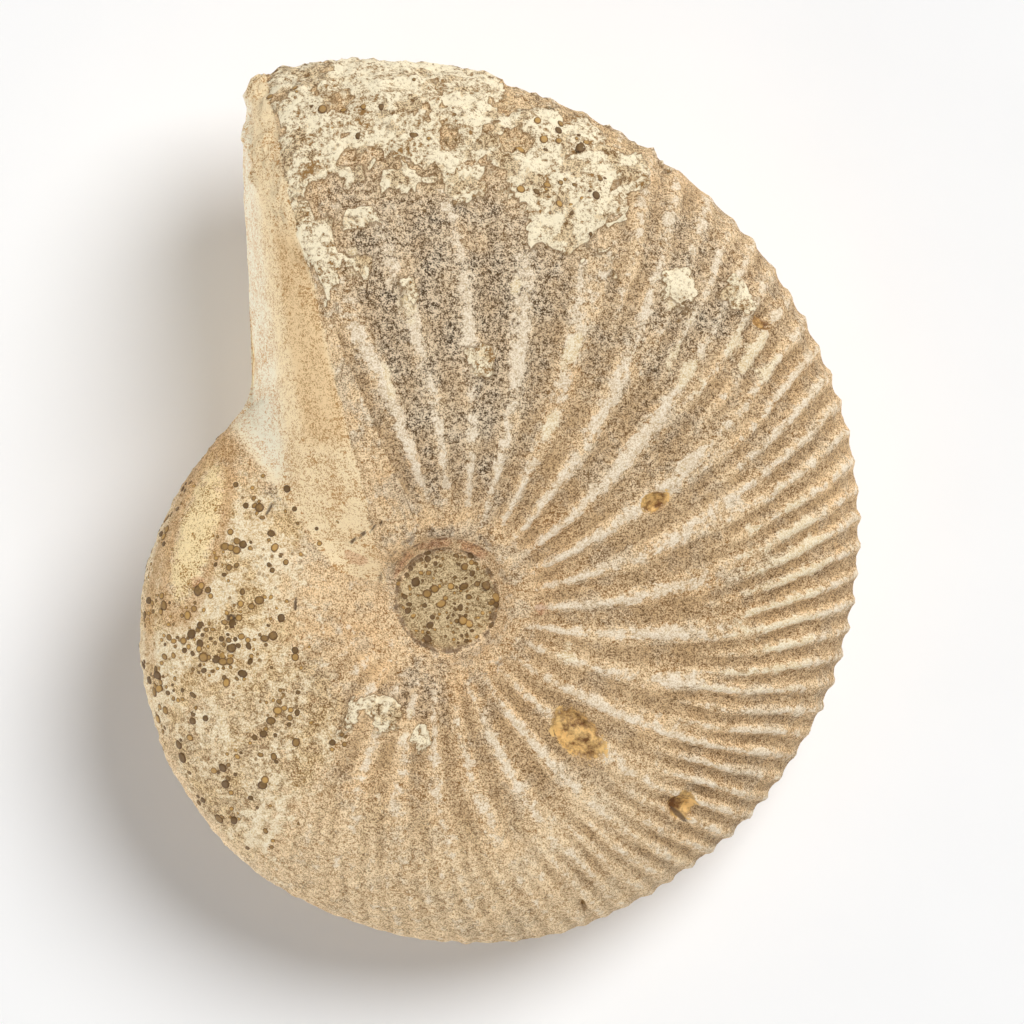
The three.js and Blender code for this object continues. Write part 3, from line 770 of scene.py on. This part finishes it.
up = add(ooid_tree, "ShaderNodeSeparateXYZ", [add(ooid_tree, "GeometryNodeInputPosition")])
dome = add(ooid_tree, TIMES, [up.node.outputs["Z"], 1.0 / MM])
ball = add(ooid_tree, STORE, {"Geometry": ball, "Name": "dome", "Value": dome}, domain="POINT",
           data_type="FLOAT")
luck = add(ooid_tree, "FunctionNodeRandomValue", {"Min": 0.0, "Max": 1.0, "Seed": SIZE_SEED},
           data_type="FLOAT")
luck = add(ooid_tree, MATH, [luck, SMALL_ONES], operation="POWER")
size = add(ooid_tree, RANGE, [luck, 0.0, 1.0, given["Smallest"], given["Largest"]])
oval = add(ooid_tree, "FunctionNodeRandomValue",
           {"Min": (OVAL_LEAST,) * 3, "Max": (OVAL_MOST,) * 3, "Seed": OVAL_SEED},
           data_type="FLOAT_VECTOR")
scale = add(ooid_tree, VECTOR, [oval, size], operation="SCALE")
flat = add(ooid_tree, "ShaderNodeCombineXYZ", [1.0, 1.0, given["Flatness"]])
scale = add(ooid_tree, VECTOR, [scale, flat], operation="MULTIPLY")
grains = add(ooid_tree, "GeometryNodeInstanceOnPoints",
             {"Points": seeds, "Instance": ball, "Rotation": facing, "Scale": scale})
tint = add(ooid_tree, "FunctionNodeRandomValue", {"Min": 0.0, "Max": 1.0, "Seed": TINT_SEED},
           data_type="FLOAT")
grains = add(ooid_tree, STORE, {"Geometry": grains, "Name": "tint", "Value": tint},
             domain="INSTANCE", data_type="FLOAT")
grains = add(ooid_tree, "GeometryNodeRealizeInstances", [grains])
ironstone = bpy.data.materials.new("iron_ooids_worn")
grains = add(ooid_tree, "GeometryNodeSetMaterial", {"Geometry": grains, "Material": ironstone})
add(ooid_tree, "NodeGroupOutput", [grains])
ooids = new_piece("iron_ooids", stone.data.copy())
run_tree(ooids, ooid_tree, {"Spacing": 0.75})
ooids.data.shade_smooth()

# %% [markdown]
# ## The limestone's material
#
# Weathered limestone with iron in it: matt, and full of specks from less than a tenth of a
# millimetre to a few millimetres. Specks finer than 0.2 mm wouldn't show, so they are drawn as
# coarse as that. Tan is its ground colour. Rib crests are worn to cream and get a painted
# highlight, the furrows are darkened with painted shade in brown, and each kind of surface has
# its own tones. The fine patterns read Object coordinates, scaled to millimetres.
#
# Each kind of surface is a coat over what is there: a mask says where it is, and a pattern of
# specks chooses between its dark and its light tone.

# %% Colours, patterns and coats
def colour(code):
    """An sRGB hex code as the linear colour that a shader takes."""
    parts = [int(code[i:i + 2], 16) / 255.0 for i in (1, 3, 5)]
    return (*(c / 12.92 if c <= 0.04045 else ((c + 0.055) / 1.055) ** 2.4 for c in parts), 1.0)


limestone.use_nodes = True
rock = limestone.node_tree
rock.nodes.clear()
coordinates = add(rock, "ShaderNodeTexCoord", out=3)
in_mm = add(rock, VECTOR, [coordinates, 1.0 / MM], operation="SCALE")
SPECKS = ((0.21, 1.0, 0.6), (0.65, 2.0, 0.6), (1.6, 4.0, 0.7))  # size in mm, detail, roughness
speck, grain, ragged = [add(rock, NOISE, {"Vector": in_mm, "Scale": 1.0 / size, "Detail": detail,
                                          "Roughness": roughness})
                        for size, detail, roughness in SPECKS]
kinds = {name: add(rock, "ShaderNodeAttribute", out=2, attribute_name=name)
         for name in ("face", "lip", "orange", "crusted", "grey", "ooidal", "lens", "girdle",
                      "calcite", "rust", "brown", "white", "crest", "groove", "crack",
                      "navel", "painted_light_bottom", "mottle", "cloud", "stain", "clay", "cream", "patchy")}
mottle = kinds["mottle"]


def ragged_mask(kind, raggedness, edge=(0.45, 0.6), strength=1.0):
    """A mask for one kind of surface, with an edge that noise breaks up."""
    pushed = add(rock, RANGE, [ragged, 0.0, 1.0, -raggedness / 2.0, raggedness / 2.0])
    pushed = add(rock, PLUS, [kinds[kind], pushed])
    return add(rock, RANGE, [pushed, *edge, 0.0, strength], interpolation_type="SMOOTHSTEP")


def coat(under, mask, pattern, dark, light_tone):
    """A coat in two tones over what is there. The pattern chooses between the tones."""
    tone = add(rock, MIX, [pattern, colour(dark), colour(light_tone)], data_type="RGBA")
    return add(rock, MIX, [mask, under, tone], data_type="RGBA")


print("limestone patterns:", len(rock.nodes), "nodes")

# %% Tan ground and ribs
tone = 0.0
for pattern, share in ((speck, 0.52), (grain, 0.26), (mottle, 0.14), (kinds["cloud"], 0.08)):
    tone = add(rock, TIMES_PLUS, [pattern, share, tone])
light = add(rock, RANGE, [tone, 0.4, 0.575, 0.0, 1.0])
body = add(rock, MIX, [light, colour("#976d39"), colour("#ffe2b6")], data_type="RGBA")
# Stain and clay are the rock's own patches. The third coat is painted light, a paler tone towards
# the bottom of the stone.
for kind, raggedness, edge, strength, dark, light_tone in (
        ("stain", 0.35, (0.5, 0.6), 0.45, "#8f6029", "#f8cf98"),
        ("clay", 0.4, (0.5, 0.6), 0.6, "#6f5839", "#f1dcbc"),
        ("painted_light_bottom", 0.8, (0.2, 1.0), 0.5, "#cba473", "#ffecc8")):
    body = coat(body, ragged_mask(kind, raggedness, edge, strength), light, dark, light_tone)
# The rib furrows are darkened towards brown. This is painted shade in the troughs between the
# ribs.
FURROW, FURROW_SHADE = -0.22, 0.9
painted_furrow_shade = add(rock, RANGE, [kinds["crest"], 0.0, FURROW, 0.0, FURROW_SHADE])
painted_furrow_shade = add(rock, TIMES, [painted_furrow_shade, add(rock, RANGE, [mottle, 0.35, 0.6, 0.3, 1.0])])
body = coat(body, painted_furrow_shade, light, "#55391a", "#c9a678")
print("limestone material so far:", len(rock.nodes), "nodes")

# %% Grey rock, brown rock, and worn crests with a painted highlight
dark_speck = add(rock, PLUS, [speck, grain])
dark_speck = add(rock, RANGE, [dark_speck, 0.86, 1.14, 0.0, 1.0])
grey = add(rock, TIMES, [ragged_mask("grey", 1.1, (0.15, 0.95)),
                        add(rock, RANGE, [mottle, 0.35, 0.62, 1.0, 0.45])])
body = coat(body, grey, dark_speck, "#45341f", "#e8d3b4")
BROWN_TONES = ("#6d4e28", "#e9cb9b")
body = coat(body, ragged_mask("brown", 1.6, (0.5, 0.9), 0.75), dark_speck, *BROWN_TONES)
# Rib crests turn cream. Part of this is real wear, and part is a painted highlight along each
# crest.
WEAR_HIGHLIGHT_RAGGED, WEAR_HIGHLIGHT_EDGE, WEAR_HIGHLIGHT_STRENGTH = 2.4, (1.35, 1.7), 0.9
wear_and_highlight = add(rock, TIMES_PLUS, [ragged, WEAR_HIGHLIGHT_RAGGED, kinds["crest"]])
wear_and_highlight = add(rock, RANGE, [wear_and_highlight, *WEAR_HIGHLIGHT_EDGE, 0.0, WEAR_HIGHLIGHT_STRENGTH], interpolation_type="SMOOTHSTEP")
body = coat(body, wear_and_highlight, light, "#d9bf98", "#fff1da")
print("limestone material so far:", len(rock.nodes), "nodes")

# %% Ooidal mud and white streaks
CELL_SIZE, CELL_EDGE, CELL_STRENGTH = 1.0, (0.2, 0.34), 0.9  # 1 mm wide, as the ooids are
mud = add(rock, MIX, [light, colour("#96703a"), colour("#fbdfae")], data_type="RGBA")
mud = coat(mud, ragged_mask("cream", 0.4, (0.45, 0.53), 0.85), light, "#dcb983", "#fff3d6")
mud = coat(mud, kinds["navel"], light, "#84673c", "#e6cea2")
cells = add(rock, CELLS, {"Vector": in_mm, "Scale": 1.0 / CELL_SIZE, "Randomness": 1.0})
cells = add(rock, RANGE, [cells, *CELL_EDGE, 1.0, 0.0], interpolation_type="SMOOTHSTEP")
cells = add(rock, TIMES, [cells, add(rock, RANGE, [mottle, 0.4, 0.6, 0.0, CELL_STRENGTH])])
mud = add(rock, MIX, [cells, mud, colour("#8a6632")], data_type="RGBA")
body = add(rock, MIX, [ragged_mask("ooidal", 1.9, (0.35, 0.8)), body, mud], data_type="RGBA")
STREAK_RAGGED, STREAK_EDGE, STREAK_STRENGTH = 2.4, (1.95, 2.35), 0.9
streak = add(rock, TIMES_PLUS, [kinds["crest"], 0.9, kinds["white"]])
streak = add(rock, TIMES_PLUS, [ragged, STREAK_RAGGED, streak])
streak = add(rock, RANGE, [streak, *STREAK_EDGE, 0.0, STREAK_STRENGTH],
             interpolation_type="SMOOTHSTEP")
body = coat(body, streak, light, "#e0c492", "#fff2d6")
print("limestone material so far:", len(rock.nodes), "nodes")

# %% Crust
crust_tone = add(rock, PLUS, [grain, mottle])
crust_tone = add(rock, TIMES_PLUS, [speck, 0.6, crust_tone])
crust_tone = add(rock, RANGE, [crust_tone, 1.08, 1.36, 0.0, 1.0])
crust_rock = add(rock, MIX, [crust_tone, colour("#997340"), colour("#fff1d0")], data_type="RGBA")
crust_rock = coat(crust_rock, ragged_mask("patchy", 0.4, (0.52, 0.59), 0.75), dark_speck,
                  *BROWN_TONES)
# A dark band at the foot of the crust's edge is a painted shadow, as if the raised crust cast it
# on the rock beside it.
painted_crust_shadow = ragged_mask("crusted", 0.9, (0.15, 0.4), 0.65)
body = add(rock, MIX, [painted_crust_shadow, body, colour("#80623c")], data_type="RGBA")
body = add(rock, MIX, [ragged_mask("crusted", 0.9), body, crust_rock], data_type="RGBA")
print("limestone material so far:", len(rock.nodes), "nodes")

# %% Mouth's face, lens, hollows and cracks
SCRATCH_TURN = (0.0, 0.0, math.radians(57.0))
SCRATCH_SCALE = (0.25, 2.2, 1.0)  # so scratches are about 4 mm long and half a millimetre wide
turned = add(rock, "ShaderNodeMapping", {"Vector": in_mm, "Rotation": SCRATCH_TURN,
                                         "Scale": SCRATCH_SCALE})
scratch = add(rock, NOISE, {"Vector": turned, "Scale": 1.0, "Detail": 2.0, "Roughness": 0.6})
scratched = add(rock, PLUS, [scratch, light])
scratched = add(rock, TIMES_PLUS, [mottle, 0.9, scratched])
scratched = add(rock, RANGE, [scratched, 0.97, 1.62, 0.0, 1.0])
lens_light = add(rock, TIMES_PLUS, [mottle, 0.8, light])
lens_light = add(rock, RANGE, [lens_light, 0.4, 1.0, 0.0, 1.0])
calcite_tone = add(rock, RANGE, [ragged, 0.38, 0.6, 0.0, 1.0])
calcite = ragged_mask("calcite", 1.3, (0.5, 0.62))
for mask, pattern, dark, light_tone in (
        (ragged_mask("face", 0.5), scratched, "#c09056", "#ffe8bd"),
        (ragged_mask("orange", 0.6, (0.2, 1.0), 0.8), scratched, "#b98c54", "#f5d3a0"),
        (ragged_mask("lip", 0.5, (0.3, 0.9)), scratched, "#e0b681", "#fff6dc"),
        (ragged_mask("lens", 2.2, (0.35, 0.8), 0.85), lens_light, "#a8782e", "#ffe7b2"),
        (ragged_mask("girdle", 1.8, (0.45, 0.9), 0.7), light, "#9a6c32", "#e2b985"),
        (calcite, calcite_tone, "#6f4413", "#efc47c"),
        (ragged_mask("rust", 1.9, (0.5, 0.9), 0.42), light, "#8f4a2a", "#e0a070")):
    body = coat(body, mask, pattern, dark, light_tone)
# The grooves round the umbilicus are darkened with painted shade, and the cracks are dark brown.
for mask, tone in ((ragged_mask("groove", 2.0, (0.42, 0.9), 0.8), "#6b4f33"),
                   (ragged_mask("crack", 1.0, (0.4, 0.7), 0.85), "#4c3522")):
    body = add(rock, MIX, [mask, body, colour(tone)], data_type="RGBA")

# %% Limestone shader
STONE_ROUGHNESS, CALCITE_ROUGHNESS = 0.92, 0.55
SPECK_RELIEF, GRAIN_RELIEF, FACE_RELIEF = 0.1, 0.3, 0.6  # in mm, and the share left on the face
rough = add(rock, RANGE, [calcite, 0.0, 1.0, STONE_ROUGHNESS, CALCITE_ROUGHNESS])
relief = add(rock, TIMES, [speck, SPECK_RELIEF])
relief = add(rock, TIMES_PLUS, [grain, GRAIN_RELIEF, relief])
calm = add(rock, RANGE, [kinds["face"], 0.3, 0.7, 1.0, FACE_RELIEF])
relief = add(rock, TIMES, [relief, calm])
bump = add(rock, "ShaderNodeBump", {"Strength": 1.0, "Distance": MM, "Height": relief})
shader = add(rock, "ShaderNodeBsdfPrincipled",
             {"Base Color": body, "Roughness": rough, "IOR": 1.5, "Normal": bump})
add(rock, "ShaderNodeOutputMaterial", {"Surface": shader})
print("limestone material:", len(rock.nodes), "nodes")

# %% [markdown]
# ## The iron grains' material
#
# Iron oxide worn flat by weather: brown to ochre, smoother than the mud round it, with a darker
# ring where the grain's outer layer shows. Its marks are about a third of a millimetre wide.

# %% Iron grain material
ironstone.use_nodes = True
iron = ironstone.node_tree
iron.nodes.clear()
coordinates = add(iron, "ShaderNodeTexCoord", out=3)
in_mm = add(iron, VECTOR, [coordinates, 1.0 / MM], operation="SCALE")
tint = add(iron, "ShaderNodeAttribute", out=2, attribute_name="tint")
dome = add(iron, "ShaderNodeAttribute", out=2, attribute_name="dome")
MARK_SIZE, MARK_RELIEF = 0.35, 0.1  # both in mm
mark = add(iron, NOISE, {"Vector": in_mm, "Scale": 1.0 / MARK_SIZE, "Detail": 2.0,
                         "Roughness": 0.6})
shade = add(iron, TIMES_PLUS, [mark, 0.5, tint])
ochre = add(iron, RANGE, [shade, 0.45, 1.15, 0.0, 1.0])
grain_colour = add(iron, MIX, [ochre, colour("#71552e"), colour("#c49a56")], data_type="RGBA")
ring = add(iron, RANGE, [dome, 0.45, 0.85, 0.8, 0.0], interpolation_type="SMOOTHSTEP")
grain_colour = add(iron, MIX, [ring, grain_colour, colour("#5c3d19")], data_type="RGBA")
relief = add(iron, TIMES, [mark, MARK_RELIEF])
bump = add(iron, "ShaderNodeBump", {"Strength": 1.0, "Distance": MM, "Height": relief})
shader = add(iron, "ShaderNodeBsdfPrincipled",
             {"Base Color": grain_colour, "Roughness": 0.6, "IOR": 1.5, "Normal": bump})
add(iron, "ShaderNodeOutputMaterial", {"Surface": shader})
print("iron grain material:", len(iron.nodes), "nodes")

# %% [markdown]
# ## The floor's material
#
# White paper: matt. Its fibres are too fine to show, so it has faint clouds about 20 mm wide.

# %% Floor material
paper_white = bpy.data.materials.new("white_paper_matt")
paper_white.use_nodes = True
paper = paper_white.node_tree
paper.nodes.clear()
coordinates = add(paper, "ShaderNodeTexCoord", out=3)
PAPER_CLOUD = 20.0  # in mm
clouds = add(paper, NOISE, {"Vector": coordinates, "Scale": 1.0 / (PAPER_CLOUD * MM),
                            "Detail": 2.0, "Roughness": 0.5})
sheet = add(paper, MIX, [clouds, colour("#f8f8f8"), colour("#fcfcfc")], data_type="RGBA")
shader = add(paper, "ShaderNodeBsdfPrincipled", {"Base Color": sheet, "Roughness": 0.95})
add(paper, "ShaderNodeOutputMaterial", {"Surface": shader})
floor.data.materials.append(paper_white)
print("floor material:", len(paper.nodes), "nodes")

# %% [markdown]
# ## Pieces in the frame
#
# The stone stands for the solid model's one node, and the iron grains ride with it.

# %% Pieces in the frame
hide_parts("ammonite")
for piece in (stone, ooids):
    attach(piece, "root")
    print(piece.name, "rides on root:", len(piece.data.polygons), "faces")
